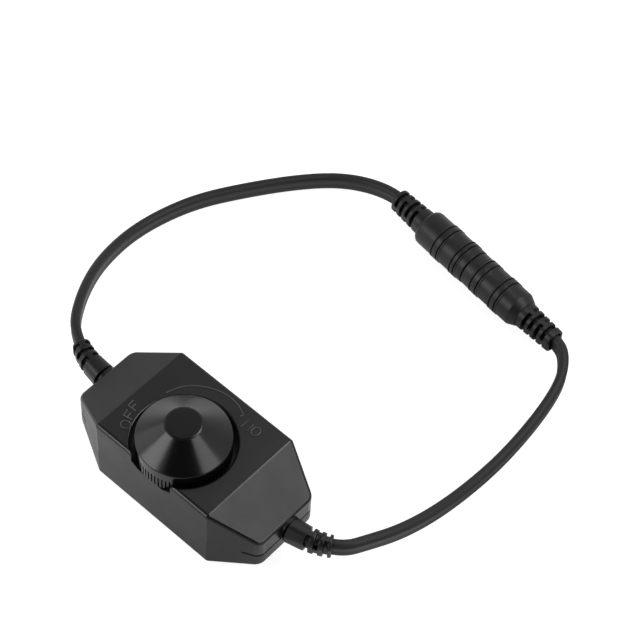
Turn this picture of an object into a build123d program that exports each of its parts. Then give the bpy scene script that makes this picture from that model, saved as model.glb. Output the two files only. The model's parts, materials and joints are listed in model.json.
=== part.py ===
from build123d import *
import os
from math import cos, radians, sin, tan

# An inline rotary dimmer for LED strips, in millimetres.
# The origin is the middle of the case's flat underside. +X runs along the case to the output cord,
# -Y is the long side with the thumb notch and +Z is up.

# Case: a long octagon in plan, with both ends sloped above and below
case_length = 67.4
case_width = 33.0
case_height = 23.7
deck_length = 40.3
end_width = 20.4
top_drop = 6.8
under_rise = 6.4
parting_drop = 12.95
wall = 1.8
edge_radius = 1.2
end_corner_radius = 3.0
pad_depth = 0.7
seam_gap = 0.3
seam_start = 29.0
lip_height = 1.2
lip_depth = 2.4
lip_thickness = 0.8
lip_gap = 0.12

# Round well for the dial, open through the front wall
dial_setback = 12.6
well_radius = 14.3
well_wall = 1.4
well_depth = 4.75
well_floor_thickness = 1.6
well_edge = 0.35
notch_rounding = 0.12

# Dial: a cone on a grooved rim
knob_radius = 13.0
knob_lift = 0.3
rim_above_deck = 2.7
cone_height = 6.1
knob_top_radius = 5.05
knob_edge = 0.3
knob_wall = 1.8
knob_crown = 2.2
shaft_cover = 2.7
hub_radius = 4.8
groove_count = 75
groove_width = 0.42
groove_depth = 0.4
groove_height = 4.25

# Four screws from below, in bosses that also carry the board
screw_x = 17.5
screw_inset = 6.1
boss_radius = 2.4
boss_foot_radius = 3.4
screw_radius = 1.1
screw_fit = 0.03
screw_length = 10.0
screw_head_radius = 2.0
screw_head_height = 1.4
screw_seat_z = 4.6
head_gap = 0.25
recess_width = 0.55
recess_depth = 0.8
recess_reach = 1.4
head_chamfer = 0.45

# Circuit board
board_z = 7.6
board_thickness = 1.6
board_length = 54.0
board_edge_gap = 1.3
board_hole_gap = 0.15

# Potentiometer on the board
pot_size = 11.0
pot_base_height = 4.2
pot_floor = 1.0
pot_wall = 0.6
track_thickness = 0.3
track_inner_radius = 2.4
track_edge_gap = 0.7
track_opening = 50.0
wiper_gap = 0.1
wiper_height = 0.7
wiper_blade = 0.2
rotor_radius = 3.5
rotor_thickness = 1.5
rotor_side_gap = 0.3
stop_angle = 28.0
stop_margin = 2.0
stop_direction = 270.0
cover_thickness = 0.6
collar_radius = 4.0
collar_gap = 0.25
shaft_radius = 3.0
shaft_fit = 0.08
shaft_flat = 1.5
knob_fit = 0.03
terminal_count = 3
terminal_pitch = 2.5
terminal_width = 0.8
terminal_thickness = 0.4
terminal_height = 1.8
terminal_reach = 1.2

# Parts on the board, set in from its long edges
mosfet_x = 12.0
mosfet_inset = 8.4
mosfet_size = (6.6, 6.1, 2.3)
mosfet_tab = (5.2, 1.6, 0.5)
mosfet_lead = (0.8, 2.4, 0.5)
mosfet_lead_pitch = 4.6
mosfet_chamfer = 0.4
timer_x = -12.5
timer_inset = 7.4
timer_size = (4.9, 3.9, 1.5)
timer_lead = (0.4, 1.0, 0.25)
timer_lead_pitch = 1.27
timer_lead_count = 4
can_x = -12.5
can_inset = 6.4
can_radius = 3.1
can_headroom = 0.8
can_groove = 0.25
can_groove_z = 1.4
diode_x = 12.5
diode_inset = 7.4
diode_size = (4.3, 2.6, 2.1)
diode_tab = (0.5, 1.5, 1.0)
chip_size = (2.0, 1.25)
resistor_height = 0.5
capacitor_height = 0.95
resistor_pitch = (4.0, 3.5)
resistor_grid = (3, 2)
resistor_gap = 5.4
capacitor_pitch = (37.0, 3.2)
capacitor_grid = (2, 2)

# Flat twin cord, on its narrow edge
cord_thickness = 2.9
cord_height = 5.4
core_spacing = 2.6
core_radius = 0.65
core_rise = 3.0
core_pad_x = 23.5
core_pad_y = 2.2
core_run = 2.0
core_bend = 1.2
arc_share = 0.45

# Strain reliefs at the case ends: neck in the wall, collar inside, windowed tail outside
neck_y = 0.5
neck_drop = 11.1
neck_width = 5.2
neck_height = 5.4
neck_gap = 0.1
neck_slack = 1.45
collar_width = 7.2
collar_height = 6.0
collar_thickness = 1.4
seat_gap = 0.05
output_standoff = 0.9
relief_drop = 10.5
relief_length = 12.0
relief_base = (6.9, 7.2)
relief_tip = (5.0, 7.0)
relief_straight = 3.5
relief_first_row = 5.7
relief_rows = 3
relief_pitch = 2.4
input_yaw = (6.0, 25.0)
output_yaw = (11.0, 32.0)

# Windows in the tails
window_length = 1.25
window_bridge = 1.7
window_core_wall = 0.35
tail_rounding = 0.44
tip_edge = 0.45
mouth_gap = 0.35
mouth_depth = 0.9

# Barrel connector: the jack ends at the seam and the plug goes on from it
seam_place = (11.45, 104.8)
connector_angle = -7.0
connector_gap = 0.3
jack_radius = 5.85
jack_length = 20.3
jack_shoulder = 1.8
jack_tail_length = 12.4
jack_first_row = 3.45
plug_radius = 5.7
plug_length = 18.9
plug_cone = 2.6
plug_tail_length = 12.2
plug_first_row = 2.55
tail_base = (7.8, 8.0)
tail_tip = (6.3, 7.2)
tail_rows = 4
tail_pitch = 2.36
jack_grooves = (3.1, 4.6, 10.2, 12.3)
plug_grooves = (4.0, 6.2, 12.0, 14.0)
ring_groove_width = 0.35
ring_groove_depth = 0.3
barrel_radius = 2.75
barrel_bore = 2.2
barrel_length = 9.5
barrel_root = 4.0
contact_bore = 1.05
contact_wall = 0.45
contact_recess = 0.3
pin_radius = 0.975
pin_recess = 1.2
socket_fit = 0.08
socket_floor_gap = 0.6
insulator_radius = 4.0
insulator_back = 3.6
insert_fit = 0.02
spring_width = 2.0
spring_thickness = 0.3
spring_gap = 0.2
spring_front = 1.5

# Routes of the cords between their first and last straight runs
cord_lead_run = 3.4
input_route = [
    (-54.4, 8.1, 12.9), (-60.1, 16.3, 11.4), (-65.0, 25.6, 8.8), (-68.4, 35.2, 5.8), (-70.1, 46.0, 3.6),
    (-68.8, 57.3, 2.9), (-65.0, 69.0, 2.85), (-58.0, 81.1, 2.85), (-49.8, 93.2, 2.9), (-41.5, 102.5, 3.2),
    (-32.8, 107.4, 4.3),
]
output_route = [
    (51.4, 11.6, 12.5), (54.7, 20.6, 10.2), (56.7, 31.9, 7.2), (57.6, 44.7, 4.4), (58.0, 58.6, 3.0),
    (57.4, 72.0, 2.9), (56.0, 84.0, 3.3), (54.1, 92.1, 4.3), (51.0, 97.3, 5.3),
]

# Levels and places that follow from the sizes above
half_length = case_length / 2
dial_y = dial_setback - case_width / 2
screw_y = case_width / 2 - screw_inset
parting_z = case_height - parting_drop
relief_z = case_height - relief_drop
neck_z = case_height - neck_drop
well_floor_z = case_height - well_depth
floor_under_z = well_floor_z - well_floor_thickness
knob_bottom_z = well_floor_z + knob_lift
knob_rim_z = case_height + rim_above_deck
knob_top_z = knob_rim_z + cone_height
board_top = board_z + board_thickness
track_top = board_top + pot_floor + track_thickness
wiper_bottom = track_top + wiper_gap
rotor_bottom = wiper_bottom + wiper_height
rotor_top = rotor_bottom + rotor_thickness
board_edge_y = case_width / 2 - wall - board_edge_gap
pot_cavity_radius = pot_size / 2 - pot_wall
track_outer_radius = pot_cavity_radius - track_edge_gap
lug_radius = pot_cavity_radius - rotor_side_gap
cover_bottom = board_top + pot_base_height
cover_top = cover_bottom + cover_thickness
collar_top = floor_under_z - collar_gap
shaft_top = knob_top_z - shaft_cover
connector_z = jack_radius
stand = (Align.CENTER, Align.CENTER, Align.MIN)
boss_places = [(x, y) for x in (-screw_x, screw_x) for y in (-screw_y, screw_y)]
connector_plane = Plane(
    origin=(*seam_place, connector_z),
    x_dir=(cos(radians(connector_angle)), sin(radians(connector_angle)), 0),
    z_dir=(0, 0, 1),
)


def pillar(radius, bottom, top, place=(0, 0)):
    """Upright cylinder between two levels."""
    return Pos(place[0], place[1], bottom) * Cylinder(radius, top - bottom, align=stand)


def block(size, place, bottom):
    """Upright box on a level, centred on a place."""
    return Pos(place[0], place[1], bottom) * Box(*size, align=stand)


def sector(inner, outer, middle, spread, bottom, top):
    """Piece of a ring about the dial's axis, from its middle direction and spread in degrees."""
    ring = Circle(outer) - Circle(inner)
    half = radians(spread / 2)
    reach = 2 * outer
    wedge = make_face(Polyline((0, 0), (reach * cos(half), -reach * sin(half)), (reach, 0),
                               (reach * cos(half), reach * sin(half)), close=True))
    return Pos(0, dial_y, bottom) * extrude(ring & (Rot(0, 0, middle) * wedge), top - bottom)


def d_shape(radius, flat):
    """Round with one flat, seen along the shaft."""
    return Circle(radius) & (Pos(flat - radius, 0) * Rectangle(2 * radius, 2 * radius))


def oval(size):
    """Rounded section of a tail, width by height."""
    return RectangleRounded(size[0], size[1], tail_rounding * min(size))


def case_form(inset):
    """The case's outer form with every face moved in by the inset."""
    half_x, half_y = half_length, case_width / 2
    fold_x, end_y = deck_length / 2, end_width / 2
    plan = make_face(Polyline(
        (fold_x, half_y), (half_x, end_y), (half_x, -end_y), (fold_x, -half_y),
        (-fold_x, -half_y), (-half_x, -end_y), (-half_x, end_y), (-fold_x, half_y), close=True))
    end_top = case_height - top_drop
    side = make_face(Polyline(
        (fold_x, case_height), (half_x, end_top), (half_x, under_rise), (fold_x, 0),
        (-fold_x, 0), (-half_x, under_rise), (-half_x, end_top), (-fold_x, case_height), close=True))
    plan = offset(plan, -inset, kind=Kind.INTERSECTION)
    side = offset(side, -inset, kind=Kind.INTERSECTION)
    corners = plan.vertices().group_by(Axis.X)
    if end_corner_radius > inset:
        plan = fillet(corners[0] + corners[-1], end_corner_radius - inset)
    return extrude(plan, case_height) & extrude(Plane.XZ * side, case_width, both=True)


def plan_band(inset, thickness, bottom, top):
    """Band that follows the inside of the walls."""
    ring = section(case_form(inset), Plane.XY.offset(parting_z))
    hole = section(case_form(inset + thickness), Plane.XY.offset(parting_z))
    return Pos(0, 0, bottom - parting_z) * extrude(ring - hole, top - bottom)


def neck_hole():
    """Opening for the strain reliefs through both end walls."""
    size = (neck_width + 2 * neck_gap, neck_height + 2 * neck_gap)
    hole = extrude(Plane.YZ * oval(size), case_length, both=True)
    keep = Box(case_length - 4 * wall, case_width, case_height)
    return Pos(0, neck_y, neck_z) * (hole - keep)


def notched_well():
    """Plan of the well and the space before the front wall, with the wall's two ends rounded off."""
    front = Pos(0, -(case_width + well_radius) / 2) * Rectangle(2 * well_radius, well_radius)
    plan = Pos(0, dial_y) * Circle(well_radius) + front
    ends = [corner for corner in plan.vertices() if abs(corner.X) < knob_radius]
    return fillet(ends, notch_rounding)


pad_bar = extrude(Plane.YZ * oval(relief_base), half_length + pad_depth, both=True)
outer_form = offset(case_form(edge_radius), edge_radius, kind=Kind.ARC) + Pos(0, neck_y, relief_z) * pad_bar
inner_form = case_form(wall)
upper_room = block((2 * case_length, 2 * case_width, case_height), (0, 0), parting_z)
lower_room = block((2 * case_length, 2 * case_width, parting_z), (0, 0), 0)


def make_case_top():
    """Upper half: deck, dial well with its floor, screw bosses, end pads and the shadow gap at the ends."""
    cup = pillar(well_radius + well_wall, floor_under_z, case_height, (0, dial_y)) & outer_form
    top = (outer_form - inner_form) & upper_room
    top += cup
    for place in boss_places:
        boss = pillar(boss_radius, parting_z, case_height - wall / 2, place)
        top += boss - pillar(screw_radius + screw_fit, parting_z, screw_seat_z + screw_length + wall, place)
    top -= Pos(0, 0, well_floor_z) * extrude(notched_well(), well_depth + wall)
    top -= Pos(0, dial_y, case_height - well_edge / 2) * Cone(
        well_radius, well_radius + well_edge, well_edge)
    shaft_hole = shaft_radius + shaft_fit + collar_gap
    top -= pillar(shaft_hole, floor_under_z - wall, well_floor_z + wall, (0, dial_y))
    top -= neck_hole()
    gap = block((2 * case_length, 2 * case_width, seam_gap), (0, 0), parting_z)
    top -= gap - block((2 * seam_start, 2 * case_width, seam_gap), (0, 0), parting_z)
    return top


def make_case_bottom():
    """Lower half: tray with the locating lip and four stepped bosses."""
    bottom = (outer_form - inner_form) & lower_room
    lip_foot = parting_z - lip_depth
    bottom += plan_band(wall - lip_gap, lip_thickness + 2 * lip_gap, lip_foot, parting_z - lip_gap)
    bottom += plan_band(wall + lip_gap, lip_thickness, lip_foot, parting_z + lip_height)
    relief_room = Box(2 * case_length, collar_width + 2 * lip_thickness, 2 * case_height)
    bottom -= (Pos(0, neck_y, 0) * relief_room) & inner_form
    for place in boss_places:
        bottom += pillar(boss_foot_radius, wall / 2, board_z, place)
        bottom += pillar(boss_radius, board_z, parting_z, place)
        bottom -= pillar(screw_radius + screw_fit, 0, parting_z, place)
        bottom -= pillar(screw_head_radius + head_gap, -wall, screw_seat_z, place)
    return bottom - neck_hole()


def make_case_screws():
    """Four pan-head screws with a cross recess."""
    slot = Box(2 * screw_head_radius, recess_width, 2 * recess_depth)
    cross = (slot + Rot(0, 0, 90) * slot) & Cylinder(recess_reach, 2 * recess_depth)
    head_z = screw_seat_z - screw_head_height
    screw = pillar(screw_head_radius, head_z, screw_seat_z)
    screw = chamfer(screw.edges().group_by(Axis.Z)[0], head_chamfer)
    screw += pillar(screw_radius, screw_seat_z, screw_seat_z + screw_length)
    screw -= Pos(0, 0, head_z) * cross
    return [Pos(*place) * screw for place in boss_places]


def make_knob():
    """Cone dial: hollow below, with a hub on the shaft and fine grooves round the rim."""
    outline = Polyline(
        (0, knob_bottom_z), (knob_radius, knob_bottom_z), (knob_radius, knob_rim_z - knob_edge),
        (knob_radius - knob_edge, knob_rim_z), (knob_top_radius, knob_top_z), (0, knob_top_z), close=True)
    inside = knob_radius - knob_wall
    crown_z = knob_top_z - knob_crown
    hollow = Polyline(
        (0, knob_bottom_z - knob_wall), (inside, knob_bottom_z - knob_wall), (inside, knob_rim_z - knob_wall),
        (knob_top_radius, crown_z), (0, crown_z), close=True)
    knob = revolve(Plane.XZ * make_face(outline), Axis.Z) - revolve(Plane.XZ * make_face(hollow), Axis.Z)
    bore_depth = shaft_top + knob_fit - knob_bottom_z
    bore = extrude(d_shape(shaft_radius + knob_fit, shaft_flat + knob_fit), bore_depth)
    knob += pillar(hub_radius, knob_bottom_z, crown_z + knob_crown / 2)
    knob -= Pos(0, 0, knob_bottom_z) * bore
    grooves = Sketch() + PolarLocations(knob_radius, groove_count) * Rectangle(2 * groove_depth, groove_width)
    knob -= Pos(0, 0, knob_bottom_z) * extrude(grooves, groove_height)
    return Pos(0, dial_y, 0) * knob


def make_board():
    """Board that follows the case, with a hole at each boss."""
    outline = section(case_form(wall + board_edge_gap), Plane.XY.offset(parting_z))
    board = Pos(0, 0, board_z - parting_z) * extrude(outline, board_thickness)
    board &= block((board_length, case_width, board_thickness), (0, 0), board_z)
    for place in boss_places:
        board -= pillar(boss_radius + board_hole_gap, board_z, board_top, place)
    return board


def make_pot_base():
    """Square moulded cup with a stop rib in its round cavity."""
    base = block((pot_size, pot_size, pot_base_height), (0, dial_y), board_top)
    base -= pillar(pot_cavity_radius, board_top + pot_floor, cover_bottom, (0, dial_y))
    rib_inner = rotor_radius + rotor_side_gap
    base += sector(rib_inner, pot_cavity_radius + pot_wall / 2, stop_direction, stop_angle,
                   track_top + wiper_gap, cover_bottom - rotor_side_gap)
    return base


def make_pot_track():
    """Carbon track on the cavity floor, open at the stop."""
    bottom = board_top + pot_floor
    track = pillar(track_outer_radius, bottom, track_top, (0, dial_y))
    track -= pillar(track_inner_radius, bottom, track_top, (0, dial_y))
    return track - sector(track_inner_radius / 2, 2 * track_outer_radius, stop_direction, track_opening,
                          bottom, track_top)


def make_pot_rotor():
    """Shaft with its flat, disc and stop lug, at the OFF end of its travel."""
    rotor = pillar(rotor_radius, rotor_bottom, rotor_top, (0, dial_y))
    lug_direction = stop_direction - stop_angle - stop_margin
    rotor += sector(rotor_radius / 2, lug_radius, lug_direction, stop_angle, rotor_bottom, rotor_top)
    rotor += pillar(shaft_radius, rotor_bottom, collar_top, (0, dial_y))
    flat_part = extrude(d_shape(shaft_radius, shaft_flat), shaft_top - rotor_top)
    return rotor + Pos(0, dial_y, rotor_top) * flat_part


def make_pot_wiper():
    """Sliding contact under the disc: a leaf with a finger that reaches down to the track."""
    lug_direction = stop_direction - stop_angle - stop_margin
    leaf = sector(track_inner_radius, rotor_radius, lug_direction, 3 * stop_angle,
                  rotor_bottom - wiper_blade, rotor_bottom)
    return leaf + sector(track_inner_radius, rotor_radius, lug_direction, stop_angle,
                         wiper_bottom, rotor_bottom)


def make_pot_cover():
    """Metal cover with the shaft's collar and two legs down to the board."""
    width = pot_size + 2 * cover_thickness
    cover = block((width, pot_size, cover_thickness), (0, dial_y), cover_bottom)
    cover += pillar(collar_radius, cover_bottom, collar_top, (0, dial_y))
    cover -= pillar(shaft_radius + shaft_fit, cover_bottom, collar_top, (0, dial_y))
    for side in (-1, 1):
        leg_x = side * (pot_size + cover_thickness) / 2
        cover += block((cover_thickness, pot_size / 2, cover_top - board_top), (leg_x, dial_y), board_top)
    return cover


def make_pot_terminals():
    """Three bent pins from the base to the board."""
    front = dial_y - pot_size / 2
    pins = []
    for index in range(terminal_count):
        x = (index - (terminal_count - 1) / 2) * terminal_pitch
        leg = block((terminal_width, terminal_thickness, terminal_height),
                    (x, front - terminal_reach + terminal_thickness / 2), board_top)
        foot = block((terminal_width, terminal_reach, terminal_thickness),
                     (x, front - terminal_reach / 2), board_top + terminal_height - terminal_thickness)
        pins.append(leg + foot)
    return pins


def make_mosfet():
    """Power switch: moulded body, then its tab and two leads."""
    x, y = mosfet_x, board_edge_y - mosfet_inset
    body = block(mosfet_size, (x, y), board_top)
    back = y + mosfet_size[1] / 2
    front = y - mosfet_size[1] / 2
    metal = [block(mosfet_tab, (x, back + mosfet_tab[1] / 2), board_top)]
    for side in (-1, 1):
        place = (x + side * mosfet_lead_pitch / 2, front - mosfet_lead[1] / 2)
        metal.append(block(mosfet_lead, place, board_top))
    return chamfer(body.edges().group_by(Axis.Z)[-1], mosfet_chamfer), metal


def make_timer():
    """Eight-lead chip: body standing on its leads."""
    x, y = timer_x, timer_inset - board_edge_y
    body = block(timer_size, (x, y), board_top + timer_lead[2])
    leads = []
    for index in range(timer_lead_count):
        lead_x = x + (index - (timer_lead_count - 1) / 2) * timer_lead_pitch
        for side in (-1, 1):
            lead_y = y + side * timer_size[1] / 2
            lead_size = (timer_lead[0], 2 * timer_lead[1], timer_lead[2])
            leads.append(block(lead_size, (lead_x, lead_y), board_top))
    return body, leads


def make_can():
    """Upright electrolytic can with its rolled groove."""
    top = floor_under_z - can_headroom
    place = (can_x, board_edge_y - can_inset)
    can = pillar(can_radius, board_top, top, place)
    can = chamfer(can.edges().group_by(Axis.Z)[-1], can_groove)
    groove_bottom = board_top + can_groove_z
    groove = pillar(2 * can_radius, groove_bottom, groove_bottom + 2 * can_groove, place)
    return can - (groove - pillar(can_radius - can_groove, board_top, top, place))


def make_diode():
    """Diode body with a tab at each end, as one moulded piece."""
    x, y = diode_x, diode_inset - board_edge_y
    diode = block(diode_size, (x, y), board_top)
    for side in (-1, 1):
        diode += block(diode_tab, (x + side * (diode_size[0] + diode_tab[0]) / 2, y), board_top)
    return diode


def make_chips(pitch, grid, middle_y, height):
    """Small two-ended chips in a grid."""
    chip = block((*chip_size, height), (0, middle_y), board_top)
    return [place * chip for place in GridLocations(*pitch, *grid)]


def relief_station(distance, yaw):
    """Section plane of a relief's tail: a straight start, then a bend from the first yaw to the second."""
    start, end = radians(yaw[0]), radians(yaw[1])
    straight = min(distance, relief_straight)
    x, y = straight * cos(start), straight * sin(start)
    bend = max(distance - relief_straight, 0)
    turn = (end - start) * bend / (relief_length - relief_straight)
    middle = start + turn / 2
    chord = bend if turn == 0 else bend * sin(turn / 2) / (turn / 2)
    heading = start + turn
    return Plane(
        origin=(x + chord * cos(middle), y + chord * sin(middle), 0),
        x_dir=(-sin(heading), cos(heading), 0),
        z_dir=(cos(heading), sin(heading), 0),
    )


def straight_station(distance):
    """Section plane of a connector's tail."""
    return Plane(origin=(distance, 0, 0), x_dir=(0, 1, 0), z_dir=(1, 0, 0))


def window_cutter(size, upright):
    """Windows of one row: all round the core, apart from two bridges."""
    core = (cord_thickness + 2 * window_core_wall, cord_height + window_core_wall)
    ring = Rectangle(2 * size[0], 2 * size[1]) - oval(core)
    bridge = Rectangle(window_bridge, 2 * size[1]) if upright else Rectangle(2 * size[0], window_bridge)
    return extrude(ring - bridge, window_length / 2, both=True)


def windowed_tail(length, base, tip, rows, station, sunk):
    """Tapered tail with staggered windows, from a little inside its seat to its tip."""
    def size_at(distance, less=0.0):
        share = max(distance, 0) / length
        return tuple(b + (t - b) * share - less for b, t in zip(base, tip))

    stops = [-sunk, rows[0] - window_length, *rows, length - tip_edge]
    sections = [station(stop) * oval(size_at(stop)) for stop in stops]
    sections.append(station(length) * oval(size_at(length, tip_edge)))
    tail = loft(sections, ruled=True)
    for index, place in enumerate(rows):
        tail -= station(place) * window_cutter(base, index % 2 == 0)
    return tail


def make_relief(standoff, yaw):
    """Strain relief with its neck in the end wall, pointing along +X from the wall's outer face."""
    rows = [relief_first_row + row * relief_pitch for row in range(relief_rows)]
    tail = windowed_tail(relief_length, relief_base, relief_tip, rows,
                         lambda distance: relief_station(distance, yaw), 2 * wall)
    tail -= Box(8 * wall, case_width, case_height, align=(Align.MAX, Align.CENTER, Align.CENTER))
    neck_length = wall + neck_slack
    neck = extrude(Plane.YZ * oval((neck_width, neck_height)), -neck_length)
    collar = extrude(Plane.YZ * oval((collar_width, collar_height)), -collar_thickness)
    rooted = neck + Pos(-neck_length, 0, 0) * collar
    return Pos(standoff, 0, 0) * (tail + Pos(0, 0, neck_z - relief_z) * rooted)


def core_wire(collar_x, level, pad_x, pad_y):
    """One insulated core from the collar's inner face down to its pad on the board."""
    inward = -1 if collar_x > 0 else 1
    top = board_top + core_rise
    path = FilletPolyline(
        (collar_x, neck_y, level), (collar_x + inward * core_run, neck_y, level), (pad_x, pad_y, top),
        (pad_x, pad_y, board_top), radius=core_bend)
    start = Plane(origin=path @ 0, z_dir=path % 0)
    return sweep(start * Circle(core_radius), path=path)


def relief_tip_point(standoff, yaw, side):
    """Tip of a relief and the heading of its cord, for the +X or the -X end."""
    tip = relief_station(relief_length, yaw)
    place = Vector(side * (half_length + standoff + tip.origin.X), neck_y + tip.origin.Y, relief_z)
    return place, Vector(side * tip.z_dir.X, tip.z_dir.Y, 0)


def make_cord(name, points):
    """Flat cord along straight runs joined by arcs, each as large as its two runs allow."""
    points = [Vector(*point) for point in points]
    radii = []
    for before, here, after in zip(points, points[1:], points[2:]):
        turn = (here - before).get_angle(after - here)
        shorter = min((here - before).length, (after - here).length)
        radii.append(arc_share * shorter / tan(radians(turn / 2)))
    path = FilletPolyline(*points, radius=radii)
    start = Plane(origin=path @ 0, x_dir=Vector(0, 0, 1).cross(path % 0), z_dir=path % 0)
    profile = oval((cord_thickness, cord_height))
    cord = sweep(start * profile, path=path)
    print(name, "length", round(path.length, 1), "radii", [round(radius, 1) for radius in radii],
          "volume over section times length", round(cord.volume / (profile.area * path.length), 4))
    return cord


def ring_grooves(part, radius, places):
    """Cut thin rings into a round body along X."""
    for place in places:
        ring = Circle(2 * radius) - Circle(radius - ring_groove_depth)
        part -= Pos(place, 0, 0) * extrude(Plane.YZ * ring, ring_groove_width / 2, both=True)
    return part


def connector_tail(length, first_row, sunk):
    """Straight windowed tail along +X, with a mouth round the cord in its tip."""
    rows = [first_row + row * tail_pitch for row in range(tail_rows)]
    tail = windowed_tail(length, tail_base, tail_tip, rows, straight_station, sunk)
    mouth = oval((cord_thickness + 2 * mouth_gap, cord_height + 2 * mouth_gap))
    return tail - Pos(length - mouth_depth, 0, 0) * extrude(Plane.YZ * mouth, 2 * mouth_depth)


def along_x(radius, start, end):
    """Round bar on the connector's axis."""
    return Pos(start, 0, 0) * extrude(Plane.YZ * Circle(radius), end - start)


jack_face = -connector_gap / 2
plug_face = connector_gap / 2
socket_floor = -barrel_length - socket_floor_gap
insert_end = socket_floor - insulator_back


def make_jack():
    """Female connector: overmould with tail, insulating insert, centre pin and spring leaf."""
    outline = make_face([
        Polyline((jack_face, 0), (jack_face, jack_radius), (jack_shoulder - jack_length, jack_radius)),
        RadiusArc((jack_shoulder - jack_length, jack_radius), (-jack_length, jack_radius - jack_shoulder),
                  -jack_shoulder),
        Polyline((-jack_length, jack_radius - jack_shoulder), (-jack_length, 0), (jack_face, 0)),
    ])
    body = ring_grooves(revolve(outline, Axis.X), jack_radius, [-place for place in jack_grooves])
    tail = connector_tail(jack_tail_length, jack_first_row, jack_shoulder)
    body += mirror(Pos(jack_length, 0, 0) * tail, about=Plane.YZ)
    body -= along_x(insulator_radius + insert_fit, insert_end, plug_face)

    spring_inner = barrel_radius + socket_fit + spring_gap
    spring_outer = spring_inner + spring_thickness
    slot_height = spring_outer + spring_gap
    slot_length = -jack_face - socket_floor
    insert = along_x(insulator_radius, insert_end, jack_face)
    insert -= along_x(barrel_radius + socket_fit, socket_floor, plug_face)
    insert -= along_x(pin_radius + insert_fit, insert_end, socket_floor)
    slot = Box(slot_length, spring_width + spring_gap, slot_height,
               align=(Align.MIN, Align.CENTER, Align.MIN))
    insert -= Pos(socket_floor, 0, 0) * slot
    pin = along_x(pin_radius, insert_end, jack_face - pin_recess - pin_radius)
    pin += Pos(jack_face - pin_recess - pin_radius, 0, 0) * Sphere(pin_radius)
    leaf_length = -spring_front - socket_floor
    leaf = Pos(socket_floor, 0, spring_inner) * Box(
        leaf_length, spring_width, spring_thickness, align=(Align.MIN, Align.CENTER, Align.MIN))
    return body, insert, pin, leaf


def make_plug():
    """Male connector: overmould with tail, barrel, insulator and centre contact, seated in the jack."""
    outline = make_face(Polyline(
        (plug_face, 0), (plug_face, plug_radius), (plug_length, plug_radius),
        (plug_length + plug_cone, tail_base[0] / 2), (plug_length + plug_cone, 0), close=True))
    body = ring_grooves(revolve(outline, Axis.X), plug_radius, plug_grooves)
    tail = connector_tail(plug_tail_length, plug_first_row, plug_cone)
    body += Pos(plug_length + plug_cone, 0, 0) * tail
    body -= along_x(barrel_radius + insert_fit, jack_face, barrel_root)
    barrel = along_x(barrel_radius, -barrel_length, barrel_root)
    barrel -= along_x(barrel_bore, -barrel_length, barrel_root)
    contact_radius = contact_bore + contact_wall
    insulator = along_x(barrel_bore - insert_fit, -barrel_length, barrel_root)
    insulator -= along_x(contact_radius + insert_fit, -barrel_length, barrel_root)
    contact = along_x(contact_radius, contact_recess - barrel_length, barrel_root)
    contact -= along_x(contact_bore, contact_recess - barrel_length, barrel_root)
    return body, barrel, insulator, contact


def write(name, shape):
    """Write one node, a single solid or a group of solids."""
    if isinstance(shape, list):
        shape = Compound(children=shape)
    export_step(shape, f"parts/{name}.step")


os.makedirs("parts", exist_ok=True)

mosfet_body, mosfet_metal = make_mosfet()
timer_body, timer_leads = make_timer()
jack_pieces = [connector_plane * piece for piece in make_jack()]
plug_pieces = [connector_plane * piece for piece in make_plug()]

input_standoff = neck_slack - seat_gap
relief_seat = Pos(half_length, neck_y, relief_z)
output_relief = relief_seat * make_relief(output_standoff, output_yaw)
input_relief = mirror(relief_seat * make_relief(input_standoff, input_yaw), about=Plane.YZ)
collar_depth = wall + neck_slack + collar_thickness
output_collar_x = half_length + output_standoff - collar_depth
input_collar_x = collar_depth - half_length - input_standoff
upper_core = neck_z + core_spacing / 2
lower_core = neck_z - core_spacing / 2

input_tip, input_heading = relief_tip_point(input_standoff, input_yaw, -1)
output_tip, output_heading = relief_tip_point(output_standoff, output_yaw, 1)
jack_reach = jack_length + jack_tail_length - mouth_depth
plug_reach = plug_length + plug_cone + plug_tail_length - mouth_depth
jack_end = connector_plane.from_local_coords(Vector(-jack_reach, 0, 0))
plug_end = connector_plane.from_local_coords(Vector(plug_reach, 0, 0))
input_points = [input_tip, input_tip + input_heading * cord_lead_run, *input_route,
                jack_end - connector_plane.x_dir * cord_lead_run, jack_end]
output_points = [output_tip, output_tip + output_heading * cord_lead_run, *output_route,
                 plug_end + connector_plane.x_dir * cord_lead_run, plug_end]

resistor_y = dial_y + pot_size / 2 + resistor_gap

nodes = {
    "case_top": make_case_top(),
    "case_bottom": make_case_bottom(),
    "case_screws": make_case_screws(),
    "knob": make_knob(),
    "circuit_board": make_board(),
    "pot_base": make_pot_base(),
    "pot_track": make_pot_track(),
    "pot_rotor": make_pot_rotor(),
    "pot_wiper": make_pot_wiper(),
    "pot_cover": make_pot_cover(),
    "pot_terminals": make_pot_terminals(),
    "mosfet_body": mosfet_body,
    "mosfet_tab_leads": mosfet_metal,
    "timer_chip_body": timer_body,
    "timer_chip_leads": timer_leads,
    "electrolytic_capacitor": make_can(),
    "diode": make_diode(),
    "chip_resistors": make_chips(resistor_pitch, resistor_grid, resistor_y, resistor_height),
    "chip_capacitors": make_chips(capacitor_pitch, capacitor_grid, 0, capacitor_height),
    "input_wire_red": core_wire(input_collar_x, upper_core, -core_pad_x, core_pad_y),
    "input_wire_black": core_wire(input_collar_x, lower_core, -core_pad_x, -core_pad_y),
    "output_wire_red": core_wire(output_collar_x, upper_core, core_pad_x, core_pad_y),
    "output_wire_black": core_wire(output_collar_x, lower_core, core_pad_x, -core_pad_y),
    "input_relief": input_relief,
    "output_relief": output_relief,
    "input_cord": make_cord("input_cord", input_points),
    "output_cord": make_cord("output_cord", output_points),
    "jack_body": jack_pieces[0],
    "jack_insulator": jack_pieces[1],
    "jack_pin": jack_pieces[2],
    "jack_spring": jack_pieces[3],
    "plug_body": plug_pieces[0],
    "plug_barrel": plug_pieces[1],
    "plug_insulator": plug_pieces[2],
    "plug_tip_contact": plug_pieces[3],
}

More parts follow.
